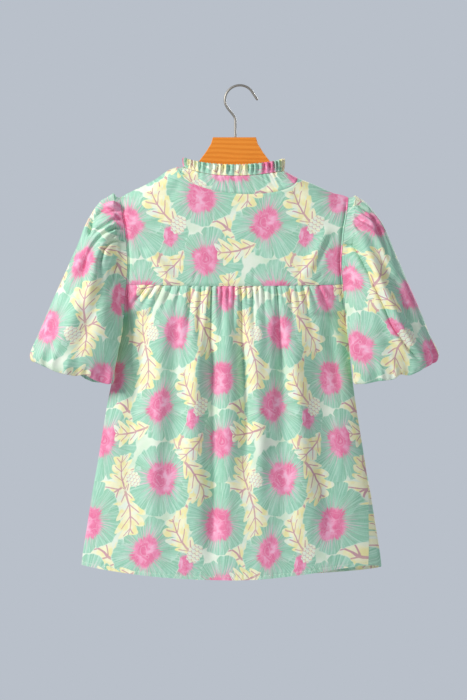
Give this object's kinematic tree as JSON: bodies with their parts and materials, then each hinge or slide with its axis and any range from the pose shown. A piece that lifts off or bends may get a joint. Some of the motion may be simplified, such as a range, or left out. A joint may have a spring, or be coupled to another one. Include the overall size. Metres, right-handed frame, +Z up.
{
  "type": "puff-sleeved blouse on a clothes hanger",
  "caption": "Short puff-sleeved blouse with a ruffled stand collar, a back yoke and a gathered back, hanging on a wooden hanger with a wire hook.",
  "frame": {"origin": "inside top of the hanger's hook, where a rail or a nail carries it", "axes": "+Z up along the hanging blouse, the front of the blouse faces -Y, +X is the wearer's left"},
  "size_m": [0.6492, 0.0969, 0.7898],
  "materials": {
    "printed_cotton": "plain-weave cotton printed with large mint, pink and cream flowers, matt",
    "beech": "smooth clear-varnished wood, satin",
    "steel_wire": "bright drawn steel wire"
  },
  "bodies": {
    "root": {"back_yoke": "printed_cotton", "back_panel": "printed_cotton", "front_panel_upper": "printed_cotton", "front_panel_lower": "printed_cotton", "neck_band": "printed_cotton", "neck_ruffle": "printed_cotton", "sleeve_left": "printed_cotton", "sleeve_right": "printed_cotton", "cuff_left": "printed_cotton", "cuff_right": "printed_cotton", "hanger_wood": "beech", "hanger_hook": "steel_wire"}
  },
  "joints": []
}
